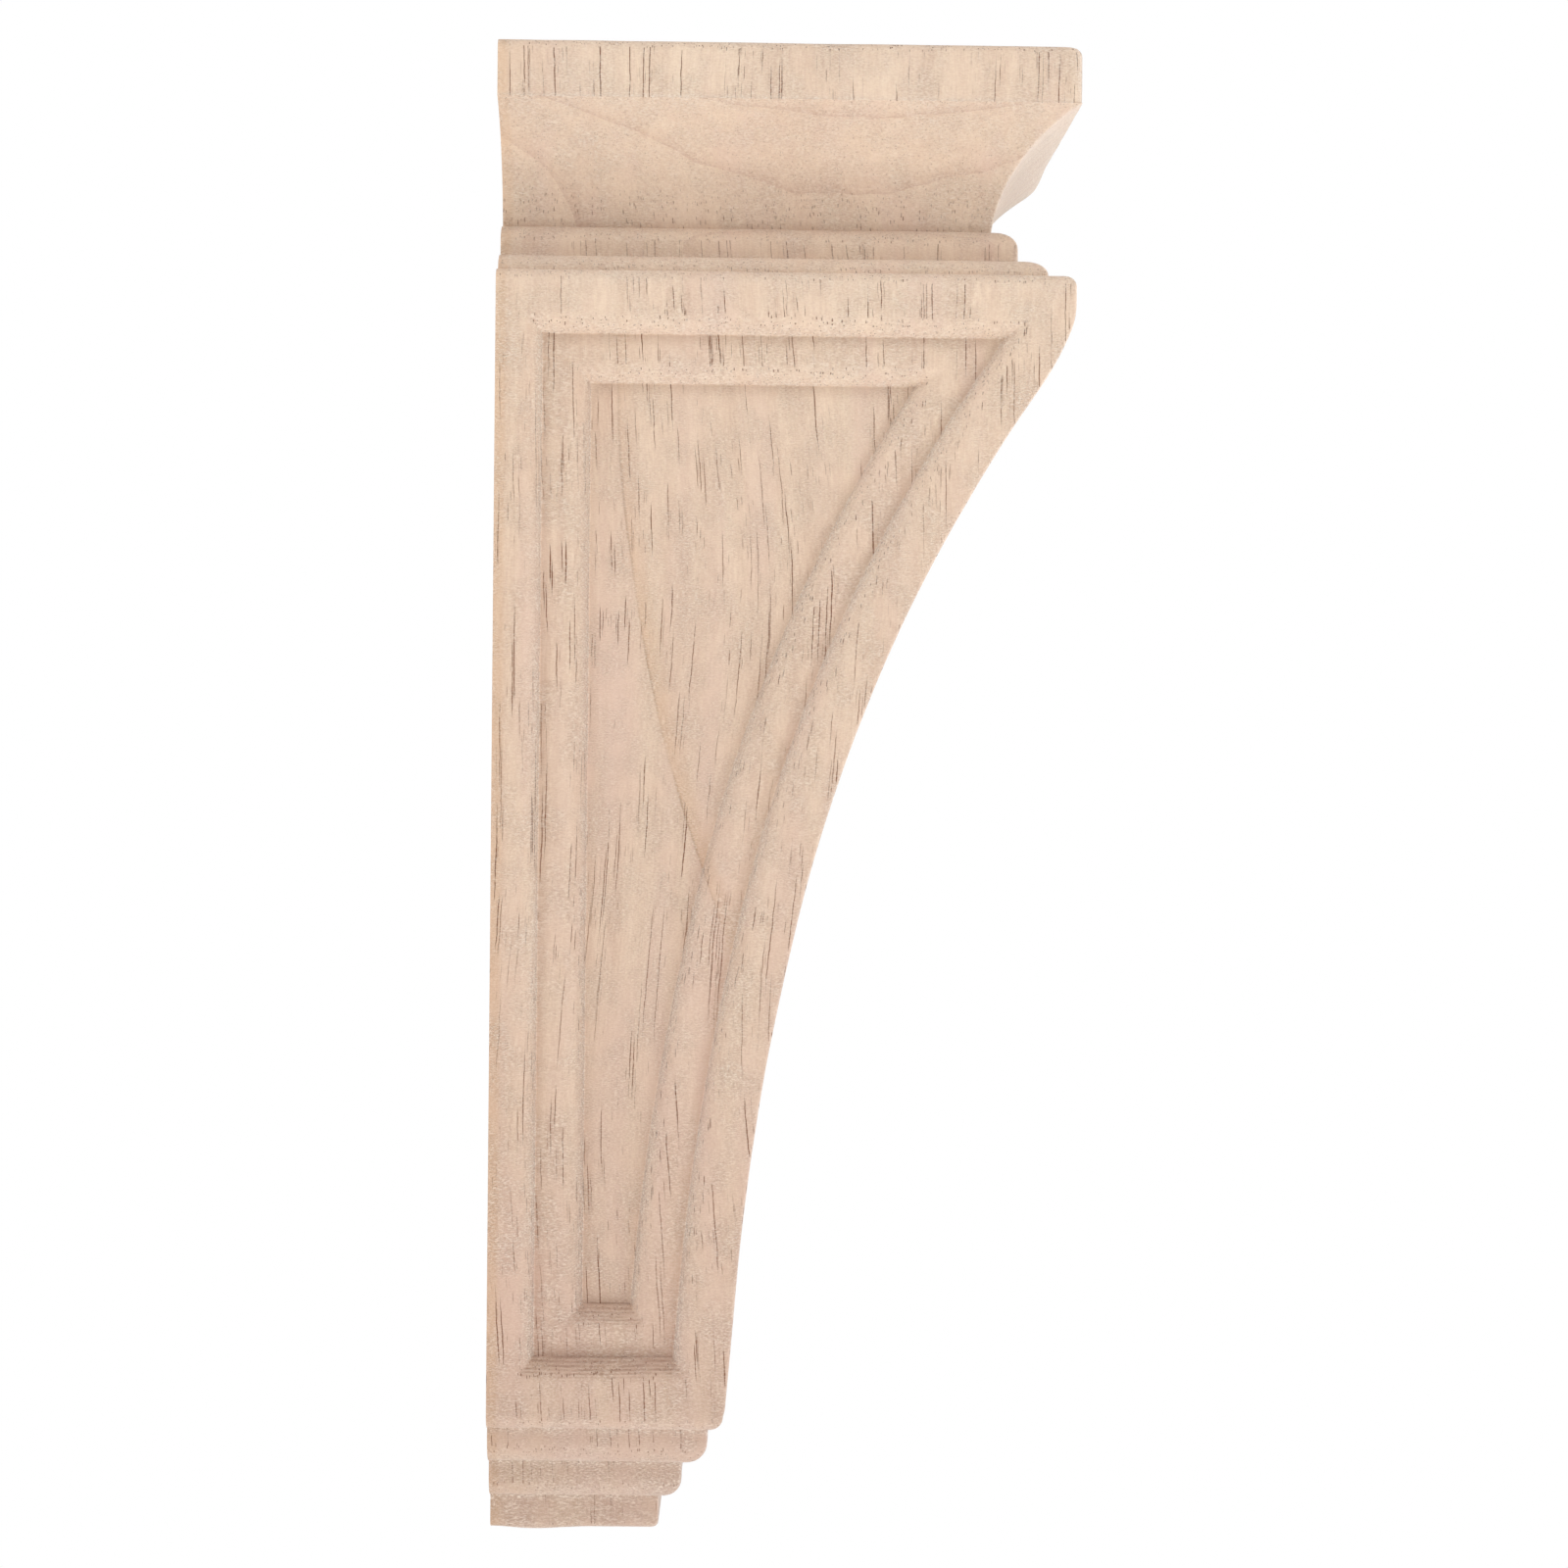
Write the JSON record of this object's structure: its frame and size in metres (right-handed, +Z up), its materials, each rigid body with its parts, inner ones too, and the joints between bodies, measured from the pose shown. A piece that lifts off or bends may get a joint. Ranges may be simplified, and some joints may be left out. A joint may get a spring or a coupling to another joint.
{
  "type": "wood corbel",
  "caption": "Unfinished wood corbel with a coved crown, a front that sweeps down to a slim stepped foot, and a stepped sunk panel in each side.",
  "frame": {"origin": "centre of the flat back face, where it goes against the wall", "axes": "+X out from the wall towards the front, +Y across the width, +Z up to the shelf"},
  "size_m": [0.1371, 0.1142, 0.3556],
  "materials": {
    "raw_wood": "raw, sanded, unfinished"
  },
  "bodies": {
    "root": {"corbel": "raw_wood"}
  },
  "joints": []
}
